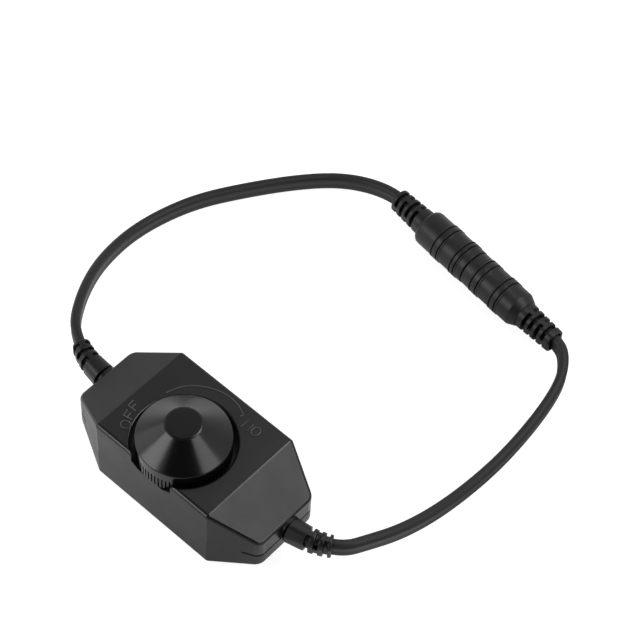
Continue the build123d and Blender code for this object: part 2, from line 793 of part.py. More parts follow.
for name, shape in nodes.items():
    write(name, shape)
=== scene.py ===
import json
import math

import bmesh
import bpy
import numpy as np
from mathutils import Matrix, Vector


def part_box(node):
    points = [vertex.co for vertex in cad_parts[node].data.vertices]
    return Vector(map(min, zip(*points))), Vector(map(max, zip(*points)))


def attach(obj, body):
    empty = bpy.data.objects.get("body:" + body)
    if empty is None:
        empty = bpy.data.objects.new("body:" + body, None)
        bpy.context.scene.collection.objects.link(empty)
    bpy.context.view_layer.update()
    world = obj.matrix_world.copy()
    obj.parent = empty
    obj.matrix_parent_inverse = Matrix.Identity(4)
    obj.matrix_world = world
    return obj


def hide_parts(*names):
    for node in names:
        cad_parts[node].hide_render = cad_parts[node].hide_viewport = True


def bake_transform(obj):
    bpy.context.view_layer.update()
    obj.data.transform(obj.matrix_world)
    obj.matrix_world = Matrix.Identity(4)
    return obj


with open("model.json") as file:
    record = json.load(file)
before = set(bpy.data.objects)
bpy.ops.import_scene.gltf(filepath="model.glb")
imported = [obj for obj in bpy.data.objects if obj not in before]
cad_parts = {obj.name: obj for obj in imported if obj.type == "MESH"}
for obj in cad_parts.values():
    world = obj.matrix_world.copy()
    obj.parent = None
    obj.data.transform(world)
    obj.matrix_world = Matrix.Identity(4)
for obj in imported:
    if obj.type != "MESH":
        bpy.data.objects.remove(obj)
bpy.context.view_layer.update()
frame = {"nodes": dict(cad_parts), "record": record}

# Lengths are in millimetres, as on the part's drawing, and become metres as the meshes are made
MM = 0.001

# Case
pad_depth = 0.7
pad_margin = 0.05
deck_length = 40.3
end_run = 13.55
end_drop = 6.8
end_narrowing = 6.3
flat_angle = 2.5
crease_width = 0.4
crease_segments = 3
well_mouth_radius = 14.65
well_softness = 0.24
seam_start = 29.0
seam_gap = 0.3
seam_shadow = 0.35
notch_floor_z = 18.95
notch_corner = (4.0, 7.24)
notch_rise = 1.7
notch_steps = 14
rim_clearance = 0.25

# Places and material slots read from the frame
case_low, case_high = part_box("case_top")
deck_z = case_high.z / MM
case_end_x = case_high.x / MM - pad_depth
knob_low, knob_high = (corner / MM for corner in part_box("knob"))
dial_place = ((knob_low.x + knob_high.x) / 2, (knob_low.y + knob_high.y) / 2)
knob_radius = (knob_high.x - knob_low.x) / 2
node_slots = {entry["node"]: entry["material_slot"] for entry in frame["record"]["subparts"]}

# Dial
rim_above_deck = 2.7
knob_top_radius = 5.05
knob_edge = 0.3
knob_foot_edge = 0.2
knob_wall = 1.8
knob_crown = 2.2
bore_cover = 2.67
hub_radius = 4.8
shaft_bore_radius = 3.03
groove_count = 75
groove_width = 0.5
groove_depth = 0.5
groove_height = 4.25
knob_segments = 300
disc_bevel = (0.32, 0.1)
disc_step = 0.1
disc_crease = 0.12
disc_draft = 0.02
disc_roundings = (0.04, 0.02, 0.03, 0.08)
disc_inner_ring = 0.6

# Strain reliefs at the case ends
end_wall = 1.8
neck_place = (0.5, 12.6)
neck_size = (5.2, 5.4)
neck_slack = 1.45
input_standoff = 1.4
output_standoff = 0.9
collar_size = (7.2, 6.0)
collar_thickness = 1.4
relief_z = 13.2
relief_length = 12.0
relief_base = (6.9, 7.2)
relief_tip = (5.0, 7.0)
relief_straight = 3.5
relief_windows = (5.7, 8.1, 10.5)
input_yaw = (6.0, 25.0)
output_yaw = (11.0, 32.0)

# Windowed tails of the reliefs and of the connectors
window_length = 1.12
window_bridge = 1.7
window_softness = 0.16
window_edge_reach = 0.55
core_size = (3.6, 5.75)
tail_rounding = 0.44
tip_edge = 0.45
tip_draw = 0.6
mouth_size = (4.4, 6.3)
mouth_depth = 0.9
tail_points = 176
arc_steps = 16
tail_steps = 24
window_edge_steps = 7
tip_steps = 6

# Barrel connector
seam_place = (11.45, 104.8)
connector_angle = -7.0
connector_gap = 0.3
jack_radius = 5.85
jack_length = 20.3
jack_shoulder = 1.8
jack_tail_length = 12.4
jack_windows = (3.45, 5.81, 8.17, 10.53)
jack_grooves = (3.1, 4.6, 10.2, 12.3)
jack_insert_radius = 4.02
jack_insert_depth = 13.7
jack_insert_edge = 0.1
plug_radius = 5.7
plug_length = 18.9
plug_cone = 2.6
plug_cone_rounding = 0.3
plug_cone_step = 0.35
plug_tail_length = 12.2
plug_windows = (2.55, 4.91, 7.27, 9.63)
plug_grooves = (4.0, 6.2, 12.0, 14.0)
plug_hole_radius = 2.77
plug_hole_depth = 4.0
tail_base = (7.8, 8.0)
tail_tip = (6.3, 7.2)
tail_root = 1.6
ring_groove_width = 0.4
ring_groove_depth = 0.38
ring_groove_edge = 0.12
band_height = 0.19
band_lip = 0.4
band_foot_rounding = 0.05
band_edge = 0.1
face_edge = 0.25
connector_segments = 160

# Flat cords, standing on their narrow edge
cord_thickness = 2.9
cord_height = 5.4
cord_waist = 0.12
waist_spread = 0.7
cord_lead_run = 3.4
cord_points = 36
line_resolution = 14
input_route = [
    (-54.4, 8.1, 12.9), (-60.1, 16.3, 11.4), (-65.0, 25.6, 8.8), (-68.4, 35.2, 5.8), (-70.1, 46.0, 3.6),
    (-68.8, 57.3, 2.9), (-65.0, 69.0, 2.85), (-58.0, 81.1, 2.85), (-49.8, 93.2, 2.9), (-41.5, 102.5, 3.2),
    (-32.8, 107.4, 4.3),
]
output_route = [
    (51.4, 11.6, 12.5), (54.7, 20.6, 10.2), (56.7, 31.9, 7.2), (57.6, 44.7, 4.4), (58.0, 58.6, 3.0),
    (57.4, 72.0, 2.9), (56.0, 84.0, 3.3), (54.1, 92.1, 4.3), (51.0, 97.3, 5.3),
]

# Screws under the case
screw_place = (17.5, 10.4)
screw_seat_z = 4.6
screw_head_radius = 2.0
screw_head_height = 1.4
screw_head_edges = (0.5, 0.1)
screw_radius = 1.1
screw_length = 10.0
screw_point_length = 1.0
screw_point_share = 0.5
screw_segments = 48
recess_size = (2.7, 0.55, 1.6)

# Raised marks on the deck: the shares are of the letters' half width and half height
mark_width = 0.36
mark_height = 0.28
mark_segments = 12
letter_height = 2.8
letter_half_width = 0.36 * letter_height
round_letter_share = 2.3
round_letter_points = 28
bar_height_share = 0.1
bar_reach_share = 0.6
off_letters = [("O", (-14.66, -10.86)), ("F", (-16.06, -7.91)), ("F", (-17.16, -5.06))]
on_letters = [("O", (11.65, 11.31)), ("N", (8.78, 11.07))]
on_heading = 180.0
wedge_inner_radius = 16.7
wedge_outer = [(152, 15.9), (134, 17.2), (121, 17.7), (108, 18.1), (92, 18.4), (82, 18.2), (71, 17.6)]
wedge_points = 40

# Distances within which points merge, share a level or lie on a line of the case
merge_distance = 0.001
copy_merge_distance = 0.002
level_match = 0.01
line_match = 0.02

# Angles between faces: flatter edges of a copied node are dissolved, steeper edges of a piece stay sharp
copy_flat_angle = 0.1
case_sharp_angle = 28.0
insert_sharp_angle = 30.0
knob_sharp_angle = 25.0
screw_sharp_angle = 30.0
connector_sharp_angle = 45.0
soft_sharp_angle = 60.0

# Finishes: colours, patterns in cycles a metre, depths of the bumps, and the gloss left in narrow hollows,
# which is painted shade
case_tones = ((0.0065, 0.0066, 0.0066), (0.009, 0.0092, 0.0092))
noise_band = (0.3, 0.7)
patch_scale = 90.0
gloss_scale = 140.0
grain_depth = 0.02
inner_grain = (6000.0, 0.2)
moulding_spread = 0.1
plastic_index = 1.5
drawing_scale = 900.0
drawing_shade = 0.82
drawing_spread = 0.12
jacket_tones = ((0.018, 0.018, 0.018), (0.027, 0.027, 0.0275))
jacket_roughness = (0.42, 0.54)
jacket_gloss = 0.28
jacket_scale = (26.0, 40.0, 1.0)
jacket_line_strength = 0.25
jacket_line_depth = 0.04
crevice_reach = 1.8
crevice_band = (0.45, 0.9)
crevice_level = 0.04
crevice_samples = 6

# Studio, in metres: grey levels of the walls by height, the painted light levels that the floor shows in
# reflections from the left, and a painted pool of light there
sky_levels = [
    (0.0, 0.68), (0.3, 0.53), (0.5, 0.6), (0.66, 0.6), (0.78, 0.4), (0.84, 0.4), (0.9, 0.06), (1.0, 0.02)]
floor_size = (12.0, 12.0)
floor_grey = 0.5
floor_roughness = 0.9
floor_white = 0.86
floor_reach = (-0.12, 0.06)
painted_floor_levels = [(0.0, 0.72), (0.5, 0.62), (0.86, 0.15)]
pool_middle = (0.05, 0.012, 0.0)
pool_radius = 0.042
pool_level = 0.62

# Soft lights: size in metres and brightness of the face, then azimuth and elevation in degrees and distance
softboxes = [
    ("front_left_box", (0.5, 0.43), 3.1, (-122, 33, 0.95)),
    ("left_box", (0.5, 0.4), 0.75, (-158, 22, 1.1)),
    ("right_box", (0.48, 0.3), 1.85, (13, 41, 0.95)),
    ("right_back_box", (0.32, 0.24), 2.8, (46, 54, 0.6)),
    ("top_box", (0.15, 0.14), 3.6, (82, 64, 0.4)),
]
card_size = (1.3, 1.0)
card_place = (-50, 36, 1.1)
card_grey = 0.01

# Camera, found from the case's corners in the photograph
camera_target = (-11.007, 63.085, 0.0)
camera_azimuth = 38.687
camera_elevation = 54.54
camera_roll = 4.293
camera_distance = 600.0
camera_lens = 116.86
camera_sensor = 36.0
camera_near = 10.0

# Turned shapes are made along X: one matrix stands them up along Z, one lays them along the connectors
stand_up = Matrix(((0, 1, 0, 0), (0, 0, 1, 0), (1, 0, 0, 0), (0, 0, 0, 1)))
connector_turn = Matrix.Rotation(math.radians(connector_angle), 4, "Z")
connector_frame = Matrix.Translation((*seam_place, jack_radius)) @ connector_turn
tail_shares = np.arange(tail_points) / tail_points


def add_object(name, data):
    """New object in the scene, at the origin."""
    item = bpy.data.objects.new(name, data)
    bpy.context.scene.collection.objects.link(item)
    return item


def fill_inputs(tree, node, inputs):
    """Link a node's inputs to the sockets given, or set them to plain values."""
    for key, value in inputs.items():
        sources = value if isinstance(value, list) else [value]
        for source in sources:
            if isinstance(source, bpy.types.NodeSocket):
                tree.links.new(source, node.inputs[key])
            else:
                node.inputs[key].default_value = source


def add_node(tree, kind, output, inputs=None, **settings):
    """Output of a new node, with its settings made and its inputs filled."""
    node = tree.nodes.new(kind)
    for name, value in settings.items():
        setattr(node, name, value)
    fill_inputs(tree, node, inputs or {})
    return node.outputs[output]


def combine(tree, operation, *values):
    """Sockets and numbers put together by arithmetic."""
    return add_node(tree, "ShaderNodeMath", "Value", dict(enumerate(values)), operation=operation)


def map_range(tree, value, source, target, curve="LINEAR"):
    """Value mapped from one range to another."""
    return add_node(tree, "ShaderNodeMapRange", "Result", {
        "Value": value, "From Min": source[0], "From Max": source[1],
        "To Min": target[0], "To Max": target[1],
    }, interpolation_type=curve)


def grey(level):
    """Neutral colour."""
    return (level, level, level)


def ramp(tree, value, stops):
    """Colours at rising positions, blended by a value."""
    colour = add_node(tree, "ShaderNodeValToRGB", "Color", {"Fac": value})
    elements = colour.node.color_ramp.elements
    (first, low), *middle, (last, high) = stops
    elements[0].position, elements[0].color = first, (*low, 1)
    elements[1].position, elements[1].color = last, (*high, 1)
    for position, shade in middle:
        elements.new(position).color = (*shade, 1)
    return colour


def grey_ramp(tree, value, levels):
    """Grey levels at rising positions, blended by a value."""
    return ramp(tree, value, [(position, grey(level)) for position, level in levels])


def node_material(name):
    """New material with its node tree and shader."""
    material = bpy.data.materials.new(name)
    material.use_nodes = True
    return material, material.node_tree, material.node_tree.nodes["Principled BSDF"]


def noise(tree, scale, detail=3.0, vector=None):
    """Noise on Object coordinates, or on the vector given."""
    if vector is None:
        vector = add_node(tree, "ShaderNodeTexCoord", "Object")
    return add_node(tree, "ShaderNodeTexNoise", "Fac", {"Scale": scale, "Detail": detail, "Vector": vector})


def spread(tree, value, low, high):
    """Noise value spread over a range."""
    return map_range(tree, value, noise_band, (low, high))


def tint(tree, value, tones):
    """Two tones blended by a noise value."""
    return ramp(tree, value, list(zip(noise_band, tones)))


def bump(tree, height, strength, depth):
    """Bump of a height, with its depth."""
    return add_node(tree, "ShaderNodeBump", "Normal", {
        "Strength": strength, "Distance": depth * MM, "Height": height})


def painted_hollow_shade(tree, gloss):
    """Painted shade: gloss that falls in narrow hollows, where little light gets in."""
    openness = add_node(
        tree, "ShaderNodeAmbientOcclusion", "AO", {"Distance": crevice_reach * MM},
        only_local=True, samples=crevice_samples)
    return map_range(tree, openness, crevice_band, (crevice_level, gloss))


def grained_plastic(name, tones, roughness, grain, gloss=None):
    """Moulded plastic or rubber: a fine eroded grain, with slow changes of gloss and of shade."""
    material, tree, shader = node_material(name)
    grain_scale, grain_strength = grain
    fill_inputs(tree, shader, {
        "Base Color": tint(tree, noise(tree, patch_scale), tones),
        "Roughness": spread(tree, noise(tree, gloss_scale, 5.0), *roughness),
        "Normal": bump(tree, noise(tree, grain_scale, 2.0), grain_strength, grain_depth),
        "IOR": plastic_index,
    })
    # Where a gloss is given, it falls in narrow hollows: painted shade
    if gloss:
        fill_inputs(tree, shader, {"Specular IOR Level": painted_hollow_shade(tree, gloss)})
    return material


def plain_moulding(name, tones, roughness):
    """Small moulded or printed pieces inside the case."""
    return grained_plastic(name, tones, (roughness, roughness + moulding_spread), inner_grain)


def cord_jacket(name):
    """Extruded jacket: fine lines along the cord, from its own map, and a soft sheen."""
    material, tree, shader = node_material(name)
    along = add_node(tree, "ShaderNodeUVMap", "UV", uv_map="along")
    stretched = add_node(tree, "ShaderNodeMapping", "Vector", {"Vector": along, "Scale": jacket_scale})
    lines = noise(tree, 1.0, 4.0, stretched)
    fill_inputs(tree, shader, {
        "Base Color": tint(tree, lines, jacket_tones),
        "Roughness": spread(tree, lines, *jacket_roughness),
        "Normal": bump(tree, lines, jacket_line_strength, jacket_line_depth),
        "Specular IOR Level": jacket_gloss,
    })
    return material


def plated_metal(name, colour, roughness):
    """Plated or tinned metal with faint drawing lines."""
    material, tree, shader = node_material(name)
    lines = noise(tree, drawing_scale, 4.0)
    darker = tuple(drawing_shade * channel for channel in colour)
    fill_inputs(tree, shader, {
        "Base Color": tint(tree, lines, (darker, colour)),
        "Roughness": spread(tree, lines, roughness, roughness + drawing_spread),
        "Metallic": 1.0,
    })
    return material


finishes = {
    "case_plastic": grained_plastic("satin_case_plastic", case_tones, (0.36, 0.42), (7000.0, 0.22)),
    "case_edges": grained_plastic("smooth_case_edges", case_tones, (0.19, 0.24), (7000.0, 0.06)),
    "knob_plastic": grained_plastic(
        "smooth_dial_plastic", (grey(0.004), (0.0055, 0.0056, 0.0056)), (0.18, 0.22), (9000.0, 0.1)),
    # The marks' light grey is a painted highlight, standing in for the light that their raised strokes
    # catch
    "raised_marks": grained_plastic(
        "painted_highlight_mark_plastic", (grey(0.07), grey(0.105)), (0.3, 0.4), (7000.0, 0.1)),
    # The rubbers' last number is their gloss, which falls in narrow hollows as painted shade
    "relief_rubber": grained_plastic(
        "relief_rubber", (grey(0.006), grey(0.009)), (0.33, 0.41), (2600.0, 0.35), 0.42),
    "connector_rubber": grained_plastic(
        "connector_rubber", (grey(0.006), grey(0.009)), (0.38, 0.47), (2200.0, 0.4), 0.46),
    "cord_jacket": cord_jacket("extruded_cord_jacket"),
    "screw_steel": plated_metal("zinc_screw", (0.55, 0.55, 0.57), 0.3),
    "board_laminate": plain_moulding("green_solder_mask", ((0.02, 0.13, 0.05), (0.03, 0.17, 0.07)), 0.3),
    "pot_moulding": plain_moulding("blue_pot_moulding", ((0.03, 0.08, 0.18), (0.045, 0.1, 0.22)), 0.4),
    "pot_metal": plated_metal("pressed_pot_metal", (0.6, 0.6, 0.62), 0.28),
    "carbon_track": plain_moulding("carbon_track", (grey(0.012), grey(0.02)), 0.5),
    "contact_brass": plated_metal("wiper_brass", (0.75, 0.58, 0.28), 0.25),
    "tinned_leads": plated_metal("tinned_leads", (0.7, 0.7, 0.71), 0.3),
    "chip_moulding": plain_moulding("chip_epoxy", (grey(0.02), grey(0.03)), 0.45),
    "can_metal": plated_metal("drawn_can", (0.72, 0.72, 0.74), 0.22),
    "chip_ceramic": plain_moulding("chip_ceramic", ((0.36, 0.27, 0.18), (0.45, 0.34, 0.23)), 0.45),
    "wire_red": plain_moulding("red_wire", ((0.5, 0.03, 0.025), (0.6, 0.045, 0.035)), 0.4),
    "wire_black": plain_moulding("black_wire", (grey(0.012), grey(0.02)), 0.4),
    "insert_plastic": plain_moulding("connector_insert", (grey(0.02), grey(0.03)), 0.35),
    "barrel_nickel": plated_metal("nickel_barrel", (0.72, 0.71, 0.67), 0.18),
}


def plain_mesh(name, points, faces):
    """Mesh from points in millimetres."""
    mesh = bpy.data.meshes.new(name)
    mesh.from_pydata([Vector(point) * MM for point in points], [], faces)
    return mesh


def closed_mesh(name, points, faces):
    """Mesh from points in millimetres, with doubles merged and faces turned outwards."""
    mesh = plain_mesh(name, points, faces)
    shape = bmesh.new()
    shape.from_mesh(mesh)
    bmesh.ops.remove_doubles(shape, verts=shape.verts, dist=merge_distance * MM)
    bmesh.ops.recalc_face_normals(shape, faces=shape.faces)
    shape.to_mesh(mesh)
    shape.free()
    return mesh


def finish_mesh(piece, slot, sharp_angle, finish=None):
    """Give a piece the finish of its slot, or the one named, and smooth shading apart from its sharp edges.
    """
    mesh = piece.data
    mesh.materials.clear()
    mesh.materials.append(finishes[finish or slot])
    mesh.shade_smooth()
    mesh.set_sharp_from_angle(angle=math.radians(sharp_angle))


def new_piece(name, points, faces, slot, sharp_angle):
    """Finished piece from points in millimetres."""
    piece = add_object(name, closed_mesh(name, points, faces))
    finish_mesh(piece, slot, sharp_angle)
    return piece


def stand_for(piece, node, body):
    """Put a piece in a node's place, on its body."""
    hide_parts(node)
    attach(piece, body)


def even_normals(piece):
    """Large flats keep their own normal beside their rounded edges."""
    weighted = piece.modifiers.new("even_normals", "WEIGHTED_NORMAL")
    weighted.mode = "FACE_AREA"
    weighted.weight = 100
    weighted.keep_sharp = True


def evaluated_mesh(piece):
    """The piece's mesh with its modifiers worked out."""
    graph = bpy.context.evaluated_depsgraph_get()
    graph.update()
    return bpy.data.meshes.new_from_object(piece.evaluated_get(graph))


def apply_modifiers(piece):
    """Keep the result of a piece's modifiers as its plain mesh."""
    mesh = evaluated_mesh(piece)
    piece.modifiers.clear()
    piece.data = mesh


def node_points(node):
    """Points of a node in millimetres."""
    return [vertex.co / MM for vertex in frame["nodes"][node].data.vertices]


def joined_copy(node, points, added=None):
    """Copy of a node with its loose triangles joined, at the points given, and another mesh taken in."""
    faces = [tuple(polygon.vertices) for polygon in frame["nodes"][node].data.polygons]
    mesh = plain_mesh(node + "_skin", points, faces)
    shape = bmesh.new()
    shape.from_mesh(mesh)
    if added:
        shape.from_mesh(added)
        bpy.data.meshes.remove(added)
    bmesh.ops.remove_doubles(shape, verts=shape.verts, dist=copy_merge_distance * MM)
    bmesh.ops.dissolve_limit(
        shape, angle_limit=math.radians(copy_flat_angle), verts=shape.verts, edges=shape.edges,
        use_dissolve_boundaries=False)
    shape.to_mesh(mesh)
    shape.free()
    return add_object(node + "_skin", mesh)


def smooth_copy(node, body, sharp_angle=insert_sharp_angle):
    """Copy of a node in its place, with rounded faces that shade smoothly."""
    piece = joined_copy(node, node_points(node))
    finish_mesh(piece, node_slots[node], sharp_angle)
    even_normals(piece)
    stand_for(piece, node, body)
    return piece


def open_seam(points):
    """Raise the upper shell's lower edge at the case ends, where the gap below it casts a shadow."""
    edge_z = case_low.z / MM + seam_gap
    for point in points:
        if abs(point.x) > seam_start - level_match and abs(point.z - edge_z) < line_match:
            point.z += seam_shadow


def skin_rings(rings):
    """Points and faces of a closed skin over rings of equal count, with flat ends."""
    count = len(rings[0])
    points = [tuple(point) for ring in rings for point in ring]
    faces = [tuple(range(count)), tuple(range((len(rings) - 1) * count, len(rings) * count))]
    for row in range(len(rings) - 1):
        for step in range(count):
            after = (step + 1) % count
            first, second = row * count, (row + 1) * count
            faces.append((first + step, first + after, second + after, second + step))
    return points, faces


def notch_corners():
    """Floor of the thumb notch where it rises to the wall's two ends, between rim and front face."""
    front_y = case_low.y / MM
    start, end = notch_corner
    points, faces = [], []
    for side in (-1, 1):
        rings = []
        for x in np.linspace(start, end, notch_steps):
            top = notch_floor_z + notch_rise * (x - start) / (end - start)
            back = dial_place[1] - math.sqrt((knob_radius + rim_clearance) ** 2 - x ** 2)
            rings.append([(side * x, y, z) for y, z in (
                (front_y, notch_floor_z), (front_y, top), (back, top), (back, notch_floor_z))])
        corner_points, corner_faces = skin_rings(rings)
        faces += [[index + len(points) for index in face] for face in corner_faces]
        points += corner_points
    return closed_mesh("notch_corners", points, faces)


def soften_creases(piece):
    """Narrow bevel on the deck's edges: across the case at the end slopes, and round the well's mouth."""
    mesh = piece.data
    weights = mesh.attributes.new("bevel_weight_edge", "FLOAT", "EDGE")
    for edge in mesh.edges:
        ends = [mesh.vertices[index].co / MM for index in edge.vertices]
        if any(abs(point.z - deck_z) > level_match for point in ends):
            continue
        radii = [math.hypot(point.x - dial_place[0], point.y - dial_place[1]) for point in ends]
        if all(abs(abs(point.x) - deck_length / 2) < line_match for point in ends):
            weights.data[edge.index].value = 1.0
        elif all(abs(radius - well_mouth_radius) < line_match for radius in radii):
            weights.data[edge.index].value = well_softness / crease_width
    bevel = piece.modifiers.new("soft_creases", "BEVEL")
    bevel.limit_method = "WEIGHT"
    bevel.width = crease_width * MM
    bevel.segments = crease_segments
    apply_modifiers(piece)


def polish_edges(piece):
    """Finish the case's rounded edges smoother than its flats, and the pads at its ends duller."""
    mesh = piece.data
    mesh.materials.append(finishes["case_edges"])
    mesh.materials.append(finishes["relief_rubber"])
    slope = math.hypot(end_drop, end_run)
    chamfer = math.hypot(end_narrowing, end_run)
    flats = np.array([
        (0, 0, 1), (1, 0, 0), (0, 1, 0), (end_drop / slope, 0, end_run / slope),
        (end_narrowing / chamfer, end_run / chamfer, 0)])
    for polygon in mesh.polygons:
        normal = np.abs(np.array(polygon.normal))
        # The pads take the relief rubber, duller and with its painted shade in hollows
        if abs(polygon.center.x) > (case_end_x + pad_margin) * MM:
            polygon.material_index = 2
        elif (flats @ normal).max() < math.cos(math.radians(flat_angle)):
            polygon.material_index = 1


def make_case_top():
    """Upper shell, with its seam opened at the ends, the notch's rising corners and softened creases."""
    points = node_points("case_top")
    open_seam(points)
    piece = joined_copy("case_top", points, notch_corners())
    soften_creases(piece)
    finish_mesh(piece, "case_plastic", case_sharp_angle)
    polish_edges(piece)
    even_normals(piece)
    stand_for(piece, "case_top", "case")


def lathe(profile, segments):
    """Points and faces of a profile of (along, radius) turned about X, closed where it meets the axis."""
    points, rings, faces = [], [], []
    for along, radius in profile:
        if radius < merge_distance:
            rings.append([len(points)])
            points.append((along, 0.0, 0.0))
            continue
        rings.append(list(range(len(points), len(points) + segments)))
        for step in range(segments):
            angle = 2 * math.pi * step / segments
            points.append((along, radius * math.cos(angle), radius * math.sin(angle)))
    for first, second in zip(rings, rings[1:]):
        for step in range(segments):
            after = (step + 1) % segments
            corners = [first[step % len(first)], second[step % len(second)],
                       second[after % len(second)], first[after % len(first)]]
            face = list(dict.fromkeys(corners))
            if len(face) > 2:
                faces.append(face)
    return points, faces


def rounded(corner, before, after, radius, steps=4):
    """Points of a rounded corner of a profile."""
    corner, before, after = Vector(corner), Vector(before), Vector(after)
    start = corner + (before - corner).normalized() * radius
    end = corner + (after - corner).normalized() * radius
    points = []
    for step in range(steps + 1):
        share = step / steps
        points.append(tuple((1 - share) ** 2 * start + 2 * share * (1 - share) * corner + share ** 2 * end))
    return points


def soft_profile(corners):
    """Profile from (along, radius, rounding) corners, with the rounded ones worked out."""
    profile = []
    for index, (along, radius, rounding) in enumerate(corners):
        if rounding == 0:
            profile.append((along, radius))
            continue
        before = corners[index - 1][:2]
        after = corners[index + 1][:2]
        profile += rounded((along, radius), before, after, rounding)
    return profile


def moved(points, matrix):
    """Points taken through a matrix in millimetres."""
    return [matrix @ Vector(point) for point in points]


def geometry_tree(name, inputs):
    """Geometry Nodes tree with a geometry, a material and other named inputs, and its input sockets."""
    group = bpy.data.node_groups.new(name, "GeometryNodeTree")
    for label, kind in {"Geometry": "Geometry", **inputs, "Material": "Material"}.items():
        group.interface.new_socket(label, in_out="INPUT", socket_type="NodeSocket" + kind)
    group.interface.new_socket("Geometry", in_out="OUTPUT", socket_type="NodeSocketGeometry")
    return group, group.nodes.new("NodeGroupInput").outputs


def close_tree(group, entry, geometry):
    """End a tree, with its copies made real and in the material given."""
    real = add_node(group, "GeometryNodeRealizeInstances", "Geometry", {"Geometry": geometry})
    painted = add_node(group, "GeometryNodeSetMaterial", "Geometry", {
        "Geometry": real, "Material": entry["Material"]})
    group.links.new(painted, group.nodes.new("NodeGroupOutput").inputs["Geometry"])
    return group


def place_copies(group, shape, points, offset, turn=None):
    """Copies of a shape on points, turned if need be and all moved by an offset."""
    inputs = {"Points": points, "Instance": shape}
    if turn is not None:
        inputs["Rotation"] = turn
    copies = add_node(group, "GeometryNodeInstanceOnPoints", "Instances", inputs)
    return add_node(group, "GeometryNodeTransform", "Geometry", {"Geometry": copies, "Translation": offset})


def cut_away(group, body, cutters):
    """Body less its cutters."""
    return add_node(
        group, "GeometryNodeMeshBoolean", "Mesh", {"Mesh 1": body, "Mesh 2": cutters},
        operation="DIFFERENCE", solver="EXACT")


def tree_mesh(source, group, values):
    """Plain mesh of a tree's result on an object, with the tree's inputs set by their identifiers."""
    modifier = source.modifiers.new(group.name, "NODES")
    modifier.node_group = group
    for item in group.interface.items_tree:
        if item.item_type == "SOCKET" and item.in_out == "INPUT" and item.name in values:
            modifier[item.identifier] = values[item.name]
    return evaluated_mesh(source)


def apply_tree(piece, group, values):
    """Keep a tree's result on a piece as its plain mesh."""
    mesh = tree_mesh(piece, group, values)
    piece.modifiers.clear()
    piece.data = mesh


def grooved_rim_tree():
    """Cut evenly spaced upright grooves into a round rim."""
    group, entry = geometry_tree("grooved_rim", {
        "Count": "Int", "Rim Radius": "Float", "Cutter": "Vector", "Middle": "Vector"})
    circle = add_node(group, "GeometryNodeMeshCircle", "Mesh", {
        "Vertices": entry["Count"], "Radius": entry["Rim Radius"]})
    cutter = add_node(group, "GeometryNodeMeshCube", "Mesh", {"Size": entry["Cutter"]})
    place = add_node(group, "GeometryNodeInputPosition", "Position")
    outward = add_node(group, "FunctionNodeAlignRotationToVector", "Rotation", {"Vector": place}, axis="X")
    cutters = place_copies(group, cutter, circle, entry["Middle"], outward)
    real = add_node(group, "GeometryNodeRealizeInstances", "Geometry", {"Geometry": cutters})
    return close_tree(group, entry, cut_away(group, entry["Geometry"], real))


def make_knob():
    """Dial: rim, cone, flat disc with a fine crease round it, hollow underside and hub."""
    bottom, top = knob_low.z, knob_high.z
    rim_top = deck_z + rim_above_deck
    inner = knob_radius - knob_wall
    bore_top = top - bore_cover
    under_disc = top - knob_crown
    bevel_width, bevel_height = disc_bevel
    ledge = top - bevel_height - disc_step
    crease_edge, disc_foot, disc_lip, disc_edge = disc_roundings
    corners = [
        (bore_top, 0.0, 0), (bore_top, shaft_bore_radius, 0), (bottom, shaft_bore_radius, 0),
        (bottom, hub_radius, 0), (under_disc, hub_radius, 0), (under_disc, knob_top_radius, 0),
        (rim_top - knob_wall, inner, 0), (bottom, inner, 0), (bottom, knob_radius, knob_foot_edge),
        (rim_top, knob_radius, knob_edge), (ledge, knob_top_radius + disc_crease, crease_edge),
        (ledge, knob_top_radius, disc_foot), (top - bevel_height, knob_top_radius - disc_draft, disc_lip),
        (top, knob_top_radius - bevel_width, disc_edge), (top, knob_top_radius * disc_inner_ring, 0),
        (top, 0.0, 0),
    ]
    turned, faces = lathe(soft_profile(corners), knob_segments)
    upright = Matrix.Translation((*dial_place, 0)) @ stand_up
    piece = new_piece("dial_knob", moved(turned, upright), faces, "knob_plastic", knob_sharp_angle)
    apply_tree(piece, grooved_rim_tree(), {
        "Count": groove_count,
        "Rim Radius": knob_radius * MM,
        "Cutter": (2 * groove_depth * MM, groove_width * MM, 2 * groove_height * MM),
        "Middle": (dial_place[0] * MM, dial_place[1] * MM, bottom * MM),
        "Material": finishes["knob_plastic"],
    })
    finish_mesh(piece, "knob_plastic", knob_sharp_angle)
    even_normals(piece)
    stand_for(piece, "knob", "dial")


def screw_tree():
    """Cross-recessed screws at the corners of a rectangle."""
    group, entry = geometry_tree("case_screws", {
        "Spacing X": "Float", "Spacing Y": "Float", "Recess": "Vector", "Seat": "Vector"})
    slot = add_node(group, "GeometryNodeMeshCube", "Mesh", {"Size": entry["Recess"]})
    crossed = add_node(group, "GeometryNodeTransform", "Geometry", {
        "Geometry": slot, "Rotation": (0, 0, math.pi / 2)})
    screw = cut_away(group, entry["Geometry"], [slot, crossed])
    corners = add_node(group, "GeometryNodeMeshGrid", "Mesh", {
        "Vertices X": 2, "Vertices Y": 2, "Size X": entry["Spacing X"], "Size Y": entry["Spacing Y"]})
    return close_tree(group, entry, place_copies(group, screw, corners, entry["Seat"]))


